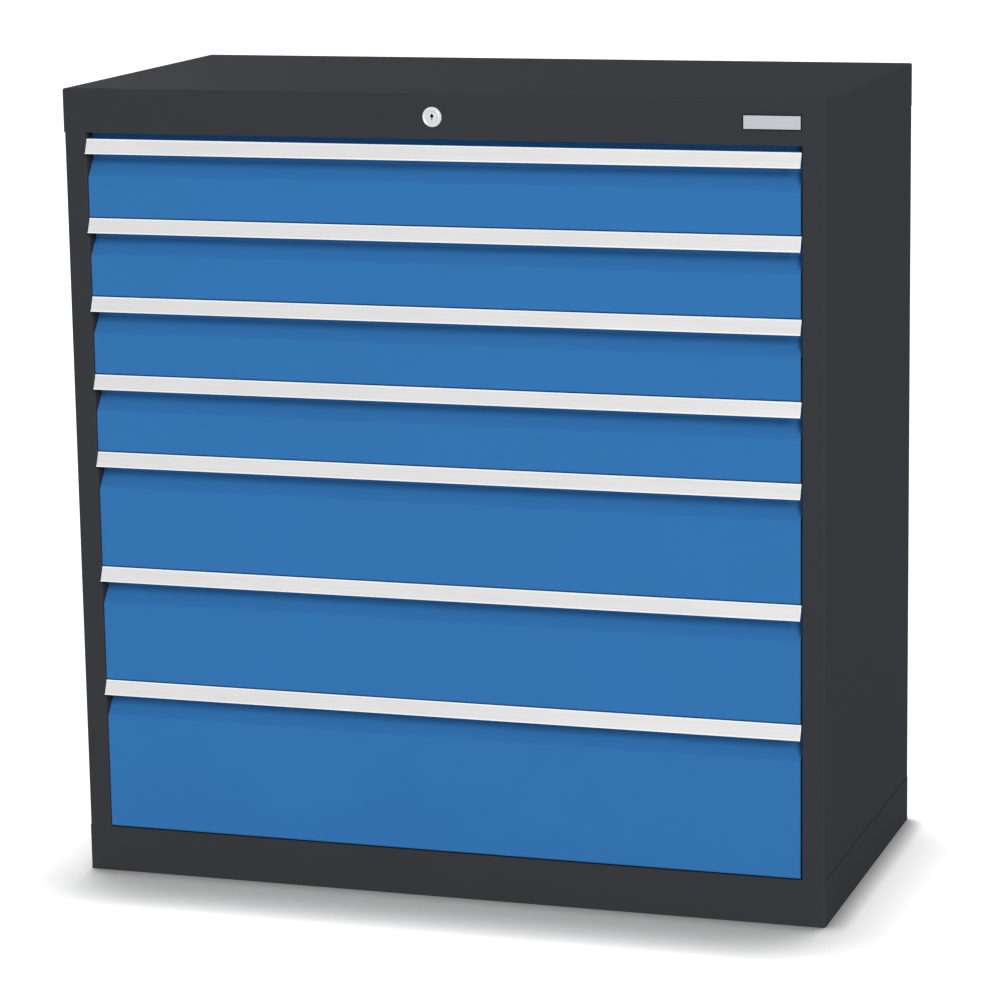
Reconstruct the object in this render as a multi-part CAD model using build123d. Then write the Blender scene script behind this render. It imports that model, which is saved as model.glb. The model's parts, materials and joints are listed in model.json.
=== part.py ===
"""Floor-standing workshop cabinet: seven drawers on full-extension roller runners, one central lock.

Lengths are in millimetres. X runs across the front, Y from the front to the back and Z up.
While the pieces are drawn, Y is 0 at the housing's front face; save() then moves every piece so
that the origin lies under the middle of the whole cabinet, on the surface that it stands on.
"""
from build123d import *
import math
import os

# Housing. A fold that nothing shows is drawn sharp.
HOUSING_WIDTH = 980.0
HOUSING_DEPTH = 496.0
BASE_HEIGHT = 59.0
HEADER_HEIGHT = 55.3
STILE_WIDTH = 29.5
HOUSING_SHEET = 1.5
BASE_SHEET = 2.0
HOUSING_BEND = 1.0
SHARP_FOLD = 0.0
SIDE_STEP_BACK = 0.5
BASE_STEP_OUT = 0.5
STILE_RETURN = 20.0
REAR_FLANGE = 20.0
BASE_FOOT = 25.0
FLOOR_SKIRT = 20.0
HEADER_FLANGE_GAP = 1.5
REAR_ROOM = 29.9
BAY_FOOT_ROOM = 4.7

# Uprights
UPRIGHT_DEPTH = 40.0
UPRIGHT_LIP = 12.0
UPRIGHT_SHEET = 1.5

# Drawer heights, from the top drawer down
FRONT_HEIGHTS = (100.0, 100.0, 100.0, 100.0, 150.0, 150.0, 200.0)

# Drawer fronts, measured down from the top of each drawer's place
FRONT_SHEET = 1.2
FRONT_BEND = 1.2
FRONT_SIDE_GAP = 1.5
FRONT_DROP = 6.8
FRONT_FLOOR_GAP = 1.2
FRONT_FOOT = 40.0
FRONT_SIDE_RETURN = 15.0
LEDGE_DROP = 7.6
LEDGE_START = 3.0
RECESS_DEPTH = 17.0
RECESS_HEAD = 34.0
RECESS_FOOT = 56.0
RECESS_BEND = 8.0
DUST_STRIP_GAP = 1.2

# Handles: a slanted strip that hangs from the front's ledge
HANDLE_DROP = 7.8
HANDLE_HEIGHT = 18.3
HANDLE_SIDE_GAP = 0.5
HANDLE_TOP_SET_BACK = 1.0
HANDLE_REACH = 7.0
HANDLE_WALL = 2.4
HANDLE_LIP = 1.6
HANDLE_LIP_RISE = 0.5
HANDLE_LEG = 14.0
HANDLE_LEG_SHEET = 2.0

# Trays
TRAY_SHEET = 1.0
TRAY_FRONT_DROP = 8.0
TRAY_SIDE_DROP = 20.0
TRAY_LIP = 8.0
TRAY_STAY = 7.0

# Runners. The rollers and their pins are many, so each has only a few flat sides.
RAIL_SHEET = 1.5
MIDDLE_SHEET = 2.0
MIDDLE_HEIGHT = 32.0
ROLLER_DIAMETER = 22.0
ROLLER_WIDTH = 6.4
ROLLER_SIDES = 12
PIN_DIAMETER = 6.0
PIN_SIDES = 6
ROLLER_PLAY = 0.3
PIN_PLAY = 0.05
SIDE_PLAY = 0.4
RUNNER_RISE = 22.0
RAIL_START_GAP = 1.6
RAIL_OVERHANG = 20.8
RUNNER_FRONT_GAP = 2.8
ROLLER_END_GAP = 12.0
STOP_LENGTH = 3.0
STOP_PLAY = 0.5
STOP_MARGIN = 4.0
MIDDLE_REAR_GAP = 11.0
RAIL_HOOK_LENGTH = 12.0
RAIL_HOOK_HEIGHT = 3.0
RAIL_HOOK_REACH = 2.5
RAIL_HOOK_PLAY = 0.4

# Lock
LOCK_DROP = 28.0
LOCK_FLANGE_DIAMETER = 24.5
LOCK_FLANGE = 2.5
LOCK_BARREL_DIAMETER = 18.8
LOCK_BARREL_LENGTH = 22.0
LOCK_BARREL_FLATS = 16.0
LOCK_HOLE_PLAY = 0.2
LOCK_TAIL = 2.0
PLUG_DIAMETER = 14.0
PLUG_STAND_OUT = 0.3
KEYHOLE_WIDTH = 1.6
KEYHOLE_HEIGHT = 8.0
KEYHOLE_CENTRE = 3.4
KEYHOLE_DEPTH = 12.0
NUT_ACROSS_FLATS = 24.0
NUT_THICKNESS = 5.0
CRANK_RADIUS = 12.0
CRANK_SWING = 90.0
CRANK_PLATE = 2.0
CRANK_HUB_MARGIN = 1.0
CRANK_PIN_MARGIN = 2.0
CRANK_PIN_DIAMETER = 5.0
CRANK_SLOT_PLAY = 0.6
RAMP_SLOT_PLAY = 0.4
LINK_MARGIN = 3.5
LOCK_PLAY = 0.3
SLIDER_SHEET = 2.0
SLIDER_HEIGHT = 16.0
GUIDE_SHEET = 1.5
GUIDE_LENGTH = 30.0
GUIDE_LIP = 4.0
GUIDE_FROM_LOCK = 90.0
GUIDE_FROM_RAMP = 60.0
BAR_SHEET = 2.5
BAR_WIDTH = 20.0
BAR_SIDE_GAP = 4.0
BAR_ARM_HEIGHT = 18.0
BAR_TAIL = 20.0
BAR_CLIP_HEIGHT = 10.0
BAR_CLIP_RISE = 22.0
BAR_CLIP_COUNT = 3
HOOK_HEIGHT = 12.0
CATCH_HEIGHT = 10.0
CATCH_RISE = 8.0
CATCH_WIDTH = 20.0
CATCH_REACH = 12.4
CATCH_GAP = 2.0
HOOK_RAIL_GAP = 4.4

# Name plate, left bare
PLATE_WIDTH = 72.0
PLATE_HEIGHT = 18.5
PLATE_THICKNESS = 0.8

# Places that follow from the sizes above
half_width = HOUSING_WIDTH / 2
side_half = half_width - SIDE_STEP_BACK
opening_half = half_width - STILE_WIDTH
bay_top = BASE_HEIGHT + BAY_FOOT_ROOM + sum(FRONT_HEIGHTS)
housing_top = bay_top + HEADER_HEIGHT
front_half = opening_half - FRONT_SIDE_GAP
handle_half = opening_half - HANDLE_SIDE_GAP

slider_y = LOCK_BARREL_LENGTH + LOCK_TAIL + CRANK_PLATE + LOCK_PLAY
bar_y = slider_y + SLIDER_SHEET + LOCK_PLAY
upright_front = bar_y + BAR_SHEET + LOCK_PLAY
rail_start = upright_front + RAIL_START_GAP

rear_upright_end = HOUSING_DEPTH - HOUSING_SHEET - REAR_ROOM
rail_end = rear_upright_end - RAIL_START_GAP
middle_end = rail_end - MIDDLE_REAR_GAP
drawer_rail_end = middle_end - ROLLER_END_GAP / 2
tray_front = RECESS_DEPTH + FRONT_SHEET
tray_back = drawer_rail_end - RAIL_OVERHANG
drawer_travel = tray_back - tray_front - TRAY_STAY
runner_start = tray_front + RUNNER_FRONT_GAP

rail_reach = RAIL_SHEET + SIDE_PLAY + ROLLER_WIDTH
middle_inset = rail_reach + SIDE_PLAY
runner_stack = 2 * middle_inset + MIDDLE_SHEET
tray_half = opening_half - runner_stack
roller_radius = ROLLER_DIAMETER / 2
rail_half_height = roller_radius + ROLLER_PLAY + RAIL_SHEET

lock_z = housing_top - LOCK_DROP
crank_offset = CRANK_RADIUS * math.sin(math.radians(CRANK_SWING / 2))
lock_travel = 2 * crank_offset
origin_y = (HANDLE_REACH - HOUSING_DEPTH) / 2


def block(x, y, z):
    """Box from its lowest and highest place along each axis."""
    size = [end - start for start, end in (x, y, z)]
    middle = [(start + end) / 2 for start, end in (x, y, z)]
    return Pos(*middle) * Box(*size)


def folded_section(points, sheet, bends=()):
    """Section of a folded sheet. The points follow one of its faces and the sheet lies to their left.

    bends holds the inside radius of each fold in turn. Folds after the last of them are sharp.
    """
    corners = [Vector(*point) for point in points]
    runs = [(after - before).normalized() for before, after in zip(corners, corners[1:])]
    normals = [Vector(-run.Y, run.X) for run in runs]
    back = [corners[0] + normals[0] * sheet]
    face_radii = []
    back_radii = []
    bends = list(bends) + [SHARP_FOLD] * (len(points) - 2 - len(bends))
    for corner, before, after, bend in zip(corners[1:], normals, normals[1:], bends):
        back.append(corner + (before + after) * (sheet / (1 + before.dot(after))))
        outside = bend + sheet if bend > SHARP_FOLD else SHARP_FOLD
        turns_to_sheet = before.cross(after).Z > 0
        face_radii.append(outside if turns_to_sheet else bend)
        back_radii.append(bend if turns_to_sheet else outside)
    back.append(corners[-1] + normals[-1] * sheet)
    with BuildSketch() as section:
        with BuildLine():
            face_line = FilletPolyline(*corners, radius=face_radii)
            back_line = FilletPolyline(*back, radius=back_radii)
            Line(face_line @ 0, back_line @ 0)
            Line(face_line @ 1, back_line @ 1)
        make_face()
    return section.sketch


def outline(points):
    """Flat face inside a closed line of straight runs."""
    with BuildSketch() as section:
        with BuildLine():
            Polyline(*points, close=True)
        make_face()
    return section.sketch


def along_x(section, start, end):
    """Solid from a section drawn as (Y, Z)."""
    return extrude(Plane.YZ.offset(start) * section, amount=end - start)


def along_y(section, start, end):
    """Solid from a section drawn as (X, Z)."""
    return extrude(Plane.XZ.offset(-end) * section, amount=end - start)


def along_z(section, start, end):
    """Solid from a section drawn as (X, Y)."""
    return extrude(Plane.XY.offset(start) * section, amount=end - start)


def on_both_sides(right_solids):
    """The right-hand solids with their mirror images for the left-hand side."""
    return right_solids + [mirror(solid, about=Plane.YZ) for solid in right_solids]


def save(node, solids):
    """Writes one node's solids, moved to the cabinet's own origin."""
    placed = [Pos(0, origin_y, 0) * solid for shape in solids for solid in shape.solids()]
    export_step(Compound(placed), f"parts/{node}.step")


def disc(diameter, y, x_centre, z_centre):
    """Round bar along Y."""
    section = Pos(x_centre, z_centre) * Circle(diameter / 2)
    return along_y(section, *y)


def drawer_places():
    """For each drawer, the top of its place, its front's lowest edge and its runners' centre line."""
    places = []
    top = bay_top
    for height in FRONT_HEIGHTS:
        next_top = top - height
        front_bottom = max(next_top - FRONT_DROP, BASE_HEIGHT + FRONT_FLOOR_GAP)
        runner_z = front_bottom + FRONT_SHEET + RUNNER_RISE
        places.append((top, front_bottom, runner_z))
        top = next_top
    return places


def top_cap():
    """Folded lid. Its front skirt is the header, which carries the lock and turns in at its foot."""
    outer = block((-half_width, half_width), (0, HOUSING_DEPTH), (bay_top, housing_top))
    bend = HOUSING_BEND + HOUSING_SHEET
    outer = fillet(outer.faces().sort_by(Axis.Z)[-1].edges(), bend)
    cavity = block(
        (HOUSING_SHEET - half_width, half_width - HOUSING_SHEET),
        (HOUSING_SHEET, HOUSING_DEPTH - HOUSING_SHEET),
        (bay_top, housing_top - HOUSING_SHEET),
    )
    flange_half = opening_half - HEADER_FLANGE_GAP
    flange = block(
        (-flange_half, flange_half),
        (HOUSING_SHEET, upright_front - LOCK_PLAY),
        (bay_top, bay_top + HOUSING_SHEET),
    )
    return outer - cavity + flange - lock_barrel(LOCK_HOLE_PLAY, (0, HOUSING_SHEET))


def side_panel():
    """Right-hand side sheet, folded round to the stile in front and to a flange behind."""
    back = HOUSING_DEPTH - HOUSING_SHEET
    section = folded_section(
        [
            (opening_half, STILE_RETURN),
            (opening_half, 0),
            (side_half, 0),
            (side_half, back),
            (side_half - REAR_FLANGE, back),
        ],
        HOUSING_SHEET,
        [HOUSING_BEND, HOUSING_BEND],
    )
    return along_z(section, BASE_HEIGHT, bay_top)


def rear_panel():
    """Flat sheet over the rear flanges of both side panels."""
    return block(
        (-side_half, side_half),
        (HOUSING_DEPTH - HOUSING_SHEET, HOUSING_DEPTH),
        (BASE_HEIGHT, bay_top),
    )


def base_frame():
    """Band round the foot of the cabinet, turned in underneath to stand on."""
    base_half = half_width + BASE_STEP_OUT
    outer = block((-base_half, base_half), (0, HOUSING_DEPTH), (0, BASE_HEIGHT))
    outer = fillet(outer.edges().filter_by(Axis.Z), HOUSING_BEND + BASE_SHEET)
    inside = base_half - BASE_SHEET
    cavity = block((-inside, inside), (BASE_SHEET, HOUSING_DEPTH - BASE_SHEET), (BASE_SHEET, BASE_HEIGHT))
    edge = BASE_SHEET + BASE_FOOT
    mouth = block((edge - base_half, base_half - edge), (edge, HOUSING_DEPTH - edge), (0, BASE_SHEET))
    return outer - cavity - mouth


def floor_panel():
    """Tray-shaped sheet that closes the base frame and carries the uprights."""
    inside = half_width + BASE_STEP_OUT - BASE_SHEET
    back = HOUSING_DEPTH - BASE_SHEET
    outer = block((-inside, inside), (BASE_SHEET, back), (BASE_HEIGHT - FLOOR_SKIRT, BASE_HEIGHT))
    cavity = block(
        (HOUSING_SHEET - inside, inside - HOUSING_SHEET),
        (BASE_SHEET + HOUSING_SHEET, back - HOUSING_SHEET),
        (BASE_HEIGHT - FLOOR_SKIRT, BASE_HEIGHT - HOUSING_SHEET),
    )
    return outer - cavity


def hook_places():
    """Places along Y where a cabinet rail hooks into the front and the rear upright."""
    return (upright_front + UPRIGHT_DEPTH / 2, rear_upright_end - UPRIGHT_DEPTH / 2)


def upright(start):
    """Right-hand C post from the floor panel to the lid, with a slot for each cabinet rail's hook."""
    end = start + UPRIGHT_DEPTH
    outside = side_half - HOUSING_SHEET
    section = folded_section(
        [
            (outside, end - UPRIGHT_LIP),
            (outside, end),
            (opening_half, end),
            (opening_half, start),
            (outside, start),
            (outside, start + UPRIGHT_LIP),
        ],
        UPRIGHT_SHEET,
    )
    post = along_z(section, BASE_HEIGHT, housing_top - HOUSING_SHEET)
    slot_half = RAIL_HOOK_LENGTH / 2 + RAIL_HOOK_PLAY
    slot_half_height = RAIL_HOOK_HEIGHT / 2 + RAIL_HOOK_PLAY
    centre = start + UPRIGHT_DEPTH / 2
    for _, _, runner_z in drawer_places():
        post -= block(
            (opening_half, opening_half + UPRIGHT_SHEET),
            (centre - slot_half, centre + slot_half),
            (runner_z - slot_half_height, runner_z + slot_half_height),
        )
    return post


def bar_span():
    """Lowest and highest X of the upright lock bar."""
    outer = side_half - HOUSING_SHEET - BAR_SIDE_GAP
    return (outer - BAR_WIDTH, outer)


def bar_clip(centre_z):
    """Bridge that holds the lock bar against the front of the right-hand front upright."""
    inner, outer = bar_span()
    front = bar_y - LOCK_PLAY - GUIDE_SHEET
    span = (centre_z - BAR_CLIP_HEIGHT / 2, centre_z + BAR_CLIP_HEIGHT / 2)
    leg_room = LOCK_PLAY + GUIDE_SHEET
    bridge = block((inner - leg_room, outer + leg_room), (front, upright_front), span)
    room = block((inner - LOCK_PLAY, outer + LOCK_PLAY), (front + GUIDE_SHEET, upright_front), span)
    return bridge - room


def right_uprights():
    """Front and rear post, the front one with the clips of the lock bar."""
    front_post = upright(upright_front)
    runners = [place[2] for place in drawer_places()]
    for clip in range(BAR_CLIP_COUNT):
        runner_z = runners[clip * (len(runners) - 1) // (BAR_CLIP_COUNT - 1)]
        front_post += bar_clip(hook_bottom(runner_z) + HOOK_HEIGHT + BAR_CLIP_RISE)
    return [front_post, upright(rear_upright_end - UPRIGHT_DEPTH)]


def left_uprights():
    """Front and rear post of the left-hand side, which has no lock bar."""
    posts = [upright(upright_front), upright(rear_upright_end - UPRIGHT_DEPTH)]
    return [mirror(post, about=Plane.YZ) for post in posts]


def channel(x_back, x_mouth, centre_z):
    """Section of a C rail, drawn as (X, Z), from the back of its web to its mouth."""
    top = centre_z + rail_half_height
    bottom = centre_z - rail_half_height
    points = [(x_mouth, top), (x_back, top), (x_back, bottom), (x_mouth, bottom)]
    if x_back > x_mouth:
        points.reverse()
    return folded_section(points, RAIL_SHEET)


def rail_stop(x, start, end, centre_z):
    """Block between the flanges of a rail that ends a roller's run."""
    inner_half = rail_half_height - RAIL_SHEET
    return block(x, (start, end), (centre_z - inner_half, centre_z + inner_half))


def middle_roller_places():
    """Places along Y of the rollers that run in the cabinet rail."""
    front = rail_start + STOP_LENGTH + STOP_MARGIN + roller_radius + drawer_travel / 2
    return (front, middle_end - ROLLER_END_GAP)


def drawer_roller_places():
    """Places along Y of the rollers that carry the drawer rail."""
    rear = drawer_rail_end - STOP_LENGTH - STOP_MARGIN - roller_radius - drawer_travel / 2
    return (runner_start + ROLLER_END_GAP + STOP_PLAY + STOP_LENGTH / 2, rear)


def cabinet_rail(runner_z):
    """Right-hand rail fixed to the uprights, with its two hooks and a stop at each end of the run."""
    mouth = opening_half - rail_reach
    rail = along_y(channel(opening_half, mouth, runner_z), rail_start, rail_end)
    inside = (mouth, opening_half - RAIL_SHEET)
    closing_stop = middle_roller_places()[1] + roller_radius + STOP_PLAY
    rail += rail_stop(inside, rail_start, rail_start + STOP_LENGTH, runner_z)
    rail += rail_stop(inside, closing_stop, closing_stop + STOP_LENGTH, runner_z)
    for centre in hook_places():
        rail += block(
            (opening_half - RAIL_SHEET, opening_half + UPRIGHT_SHEET + RAIL_HOOK_REACH),
            (centre - RAIL_HOOK_LENGTH / 2, centre + RAIL_HOOK_LENGTH / 2),
            (runner_z - RAIL_HOOK_HEIGHT / 2, runner_z + RAIL_HOOK_HEIGHT / 2),
        )
    return rail


def roller_spots():
    """Place along Y, web side and far side along X of each roller of a right-hand runner."""
    web_outer = opening_half - middle_inset
    web_inner = web_outer - MIDDLE_SHEET
    outer_face = opening_half - RAIL_SHEET - SIDE_PLAY
    inner_face = tray_half + RAIL_SHEET + SIDE_PLAY
    spots = [(y, web_outer, outer_face) for y in middle_roller_places()]
    return spots + [(y, web_inner, inner_face) for y in drawer_roller_places()]


def axle(radius, sides, x, y, runner_z):
    """Bar along X, drawn with flat sides, between two places in either order."""
    section = Pos(y, runner_z) * RegularPolygon(radius, sides)
    return along_x(section, min(x), max(x))


def middle_rail(runner_z):
    """Right-hand middle rail: a flat web with a riveted pin for each roller."""
    web_outer = opening_half - middle_inset
    rail = block(
        (web_outer - MIDDLE_SHEET, web_outer),
        (runner_start, middle_end),
        (runner_z - MIDDLE_HEIGHT / 2, runner_z + MIDDLE_HEIGHT / 2),
    )
    for y, web_side, far_side in roller_spots():
        rail += axle(PIN_DIAMETER / 2, PIN_SIDES, (web_side, far_side), y, runner_z)
    return rail


def rollers(runner_z):
    """The four rollers of a right-hand runner."""
    made = []
    for y, web_side, far_side in roller_spots():
        gap = SIDE_PLAY if far_side > web_side else -SIDE_PLAY
        span = (web_side + gap, far_side)
        bore = axle(PIN_DIAMETER / 2 + PIN_PLAY, PIN_SIDES, span, y, runner_z)
        made.append(axle(roller_radius, ROLLER_SIDES, span, y, runner_z) - bore)
    return made


def drawer_rail(runner_z):
    """Right-hand rail fixed to the tray, with a stop at each end of the run."""
    mouth = tray_half + rail_reach
    rail = along_y(channel(tray_half, mouth, runner_z), runner_start, drawer_rail_end)
    inside = (tray_half + RAIL_SHEET, mouth)
    closing_stop = drawer_roller_places()[0] - roller_radius - STOP_PLAY
    rail += rail_stop(inside, closing_stop - STOP_LENGTH, closing_stop, runner_z)
    rail += rail_stop(inside, drawer_rail_end - STOP_LENGTH, drawer_rail_end, runner_z)
    return rail


def catch(runner_z):
    """Bracket on top of the right-hand drawer rail. The lock bar's hook holds back the ear at its front."""
    foot = runner_z + rail_half_height
    bottom = runner_z + MIDDLE_HEIGHT / 2 + CATCH_RISE
    top = bottom + CATCH_HEIGHT
    along = (rail_start, rail_start + CATCH_WIDTH)
    seat = block((tray_half, tray_half + rail_reach), along, (foot, foot + RAIL_SHEET))
    arm = block((tray_half, tray_half + RAIL_SHEET), along, (foot, top))
    ear_x = (tray_half, tray_half + RAIL_SHEET + CATCH_REACH)
    return seat + arm + block(ear_x, (rail_start, rail_start + RAIL_SHEET), (bottom, top))


def drawer_rails(runner_z):
    """Both rails of a drawer, and the catch on the right-hand one."""
    rail = drawer_rail(runner_z)
    return [rail, catch(runner_z), mirror(rail, about=Plane.YZ)]


def tray(top, front_bottom):
    """Folded tray: floor and sides from one sheet, front and back walls welded in."""
    floor_z = front_bottom + FRONT_SHEET
    side_top = top - TRAY_SIDE_DROP
    lip_end = tray_half - TRAY_LIP
    section = folded_section(
        [
            (-lip_end, side_top),
            (-tray_half, side_top),
            (-tray_half, floor_z),
            (tray_half, floor_z),
            (tray_half, side_top),
            (lip_end, side_top),
        ],
        TRAY_SHEET,
    )
    shell = along_y(section, tray_front, tray_back)
    for start in (tray_front, tray_back - TRAY_SHEET):
        shell += block((-tray_half, tray_half), (start, start + TRAY_SHEET), (floor_z, side_top))
    rise_half = tray_half - TRAY_LIP
    shell += block(
        (-rise_half, rise_half),
        (tray_front, tray_front + TRAY_SHEET),
        (side_top - TRAY_SHEET, top - TRAY_FRONT_DROP),
    )
    shell += block(
        (-rise_half, rise_half),
        (tray_back - TRAY_LIP, tray_back),
        (side_top - TRAY_SHEET, side_top),
    )
    return shell


def front(top, front_bottom):
    """Folded drawer front: ledge, finger recess, flat face, foot under the tray and side returns."""
    ledge_under = top - LEDGE_DROP - FRONT_SHEET
    section = folded_section(
        [
            (LEDGE_START, ledge_under),
            (RECESS_DEPTH, ledge_under),
            (RECESS_DEPTH, top - RECESS_HEAD),
            (0, top - RECESS_FOOT),
            (0, front_bottom),
            (FRONT_FOOT, front_bottom),
        ],
        FRONT_SHEET,
        [SHARP_FOLD, FRONT_BEND, RECESS_BEND, FRONT_BEND],
    )
    sheet = along_x(section, -front_half, front_half)
    side_return = block(
        (front_half - FRONT_SHEET, front_half),
        (FRONT_SHEET / 2, FRONT_SIDE_RETURN),
        (front_bottom + FRONT_SHEET / 2, top - RECESS_FOOT - FRONT_SHEET),
    )
    for piece in on_both_sides([side_return]):
        sheet += piece
    return sheet


def dust_strip(top):
    """Upright strip on the top drawer's ledge that closes the gap under the header."""
    return block(
        (-front_half, front_half),
        (RECESS_DEPTH, RECESS_DEPTH + FRONT_SHEET),
        (top - LEDGE_DROP - FRONT_SHEET, top - DUST_STRIP_GAP),
    )


def handle(top):
    """Slanted extrusion. Its leg lies under the front's ledge and its face has a lip at each edge."""
    upper = Vector(HANDLE_TOP_SET_BACK, top - HANDLE_DROP)
    lower = Vector(-HANDLE_REACH, top - HANDLE_DROP - HANDLE_HEIGHT)
    down = (lower - upper).normalized()
    inward = Vector(-down.Y, down.X)
    floor_shift = inward * HANDLE_LIP_RISE
    leg_top = top - LEDGE_DROP - FRONT_SHEET
    leg_bottom = leg_top - HANDLE_LEG_SHEET
    back_shift = HANDLE_WALL / inward.X
    slope = (upper.X - lower.X) / (upper.Y - lower.Y)
    back_at_leg = upper.X + back_shift - slope * (upper.Y - leg_bottom)
    section = outline(
        [
            upper,
            upper + down * HANDLE_LIP,
            upper + down * HANDLE_LIP + floor_shift,
            lower - down * HANDLE_LIP + floor_shift,
            lower - down * HANDLE_LIP,
            lower,
            lower + Vector(back_shift, 0),
            Vector(back_at_leg, leg_bottom),
            Vector(HANDLE_LEG, leg_bottom),
            Vector(HANDLE_LEG, leg_top),
            Vector(LEDGE_START, leg_top),
            Vector(LEDGE_START, upper.Y),
        ]
    )
    return along_x(section, -handle_half, handle_half)


def lock_barrel(play, y):
    """Round bar with two flats that keep the lock from turning in the header's hole."""
    radius = LOCK_BARREL_DIAMETER / 2 + play
    flats = Rectangle(LOCK_BARREL_FLATS + 2 * play, 2 * radius)
    return along_y(Pos(0, lock_z) * (Circle(radius) & flats), *y)


def lock_housing():
    """Round flange on the header and the threaded barrel behind it."""
    flange = disc(LOCK_FLANGE_DIAMETER, (-LOCK_FLANGE, 0), 0, lock_z)
    barrel = lock_barrel(0, (0, LOCK_BARREL_LENGTH))
    bore = disc(PLUG_DIAMETER + 2 * PIN_PLAY, (-LOCK_FLANGE, LOCK_BARREL_LENGTH), 0, lock_z)
    return flange + barrel - bore


def lock_nut():
    """Hexagon nut that clamps the housing to the header."""
    section = Pos(0, lock_z) * RegularPolygon(NUT_ACROSS_FLATS / 2, 6, major_radius=False)
    nut = along_y(section, HOUSING_SHEET, HOUSING_SHEET + NUT_THICKNESS)
    return nut - disc(LOCK_BARREL_DIAMETER + 2 * PIN_PLAY, (0, LOCK_BARREL_LENGTH), 0, lock_z)


def lock_plug():
    """Turning core with its keyhole."""
    front_y = -LOCK_FLANGE - PLUG_STAND_OUT
    core = disc(PLUG_DIAMETER, (front_y, LOCK_BARREL_LENGTH + LOCK_TAIL), 0, lock_z)
    keyway = (front_y, front_y + KEYHOLE_DEPTH)
    core -= block(
        (-KEYHOLE_WIDTH / 2, KEYHOLE_WIDTH / 2),
        keyway,
        (lock_z - KEYHOLE_HEIGHT / 2, lock_z + KEYHOLE_HEIGHT / 2),
    )
    return core - disc(KEYHOLE_CENTRE, keyway, 0, lock_z)


def lock_crank():
    """Link on the plug's tail, with the pin that pushes the slider."""
    start = LOCK_BARREL_LENGTH + LOCK_TAIL
    pin_x = crank_offset
    pin_z = lock_z - crank_offset
    with BuildSketch() as section:
        with Locations((0, lock_z)):
            Circle(PLUG_DIAMETER / 2 + CRANK_HUB_MARGIN)
        with Locations((pin_x, pin_z)):
            Circle(CRANK_PIN_DIAMETER / 2 + CRANK_PIN_MARGIN)
        make_hull()
    plate = along_y(section.sketch, start, start + CRANK_PLATE)
    pin_end = slider_y + SLIDER_SHEET
    return plate + disc(CRANK_PIN_DIAMETER, (start, pin_end), pin_x, pin_z)


def bar_pin_place():
    """X and Z of the lock bar's pin, with the lock open."""
    inner, _ = bar_span()
    return (inner - lock_travel - 2 * LINK_MARGIN, lock_z + CRANK_RADIUS - CRANK_PIN_DIAMETER)


def slider_span():
    """Lowest and highest Z of the slider's straight bar, set round the crank pin's run."""
    middle = lock_z - (CRANK_RADIUS + crank_offset) / 2
    return (middle - SLIDER_HEIGHT / 2, middle + SLIDER_HEIGHT / 2)


def lock_slider():
    """Flat bar with an upright slot for the crank pin and a slanted slot for the lock bar's pin."""
    pin_x, pin_z = bar_pin_place()
    bottom, top = slider_span()
    edge = CRANK_PIN_DIAMETER / 2 + RAMP_SLOT_PLAY + LINK_MARGIN
    left = crank_offset - CRANK_PIN_DIAMETER / 2 - CRANK_SLOT_PLAY - 2 * LINK_MARGIN
    right = pin_x + lock_travel + edge
    section = outline(
        [
            (left, bottom),
            (right, bottom),
            (right, pin_z - lock_travel + edge),
            (pin_x + edge, pin_z + edge),
            (pin_x - edge, pin_z + edge),
            (pin_x - edge, top),
            (left, top),
        ]
    )
    crank_slot = Pos(crank_offset, lock_z - (CRANK_RADIUS + crank_offset) / 2) * Rectangle(
        CRANK_PIN_DIAMETER + 2 * CRANK_SLOT_PLAY,
        CRANK_RADIUS - crank_offset + CRANK_PIN_DIAMETER + 2 * CRANK_SLOT_PLAY,
    )
    ramp_centre = Pos(pin_x + lock_travel / 2, pin_z - lock_travel / 2)
    ramp_slot = ramp_centre * Rot(0, 0, -45) * SlotCenterToCenter(
        math.hypot(lock_travel, lock_travel), CRANK_PIN_DIAMETER + 2 * RAMP_SLOT_PLAY
    )
    return along_y(section - crank_slot - ramp_slot, slider_y, slider_y + SLIDER_SHEET)


def lock_guides():
    """Two C clips on the header's flange that the slider runs in."""
    bottom, top = slider_span()
    low = bottom - LOCK_PLAY - GUIDE_SHEET
    high = top + LOCK_PLAY + GUIDE_SHEET
    near = slider_y - LOCK_PLAY - GUIDE_SHEET
    far = slider_y + SLIDER_SHEET + LOCK_PLAY + GUIDE_SHEET
    section = folded_section(
        [
            (near, high - GUIDE_LIP),
            (near, high),
            (far, high),
            (far, low),
            (near, low),
            (near, low + GUIDE_LIP),
        ][::-1],
        GUIDE_SHEET,
    )
    clips = []
    for start in (GUIDE_FROM_LOCK, bar_pin_place()[0] - GUIDE_FROM_RAMP - GUIDE_LENGTH):
        clip = along_x(section, start, start + GUIDE_LENGTH)
        foot_z = (bay_top + HOUSING_SHEET, low + GUIDE_SHEET / 2)
        foot = block((start, start + GUIDE_LENGTH), (far - GUIDE_SHEET, far), foot_z)
        clips.append(clip + foot)
    return clips


def lock_bar():
    """Upright bar behind the right-hand stile, with an arm and a pin that ride in the slider."""
    inner, outer = bar_span()
    pin_x, pin_z = bar_pin_place()
    arm_bottom = pin_z - BAR_ARM_HEIGHT / 2
    arm_top = pin_z + BAR_ARM_HEIGHT / 2
    arm_end = pin_x - BAR_ARM_HEIGHT / 2
    last_hook = hook_bottom(drawer_places()[-1][2])
    depth = (bar_y, bar_y + BAR_SHEET)
    bar = block((inner, outer), depth, (last_hook - BAR_TAIL, arm_top))
    bar += block((arm_end, inner), depth, (arm_bottom, arm_top))
    return bar + disc(CRANK_PIN_DIAMETER, (slider_y, bar_y), pin_x, pin_z)


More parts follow.
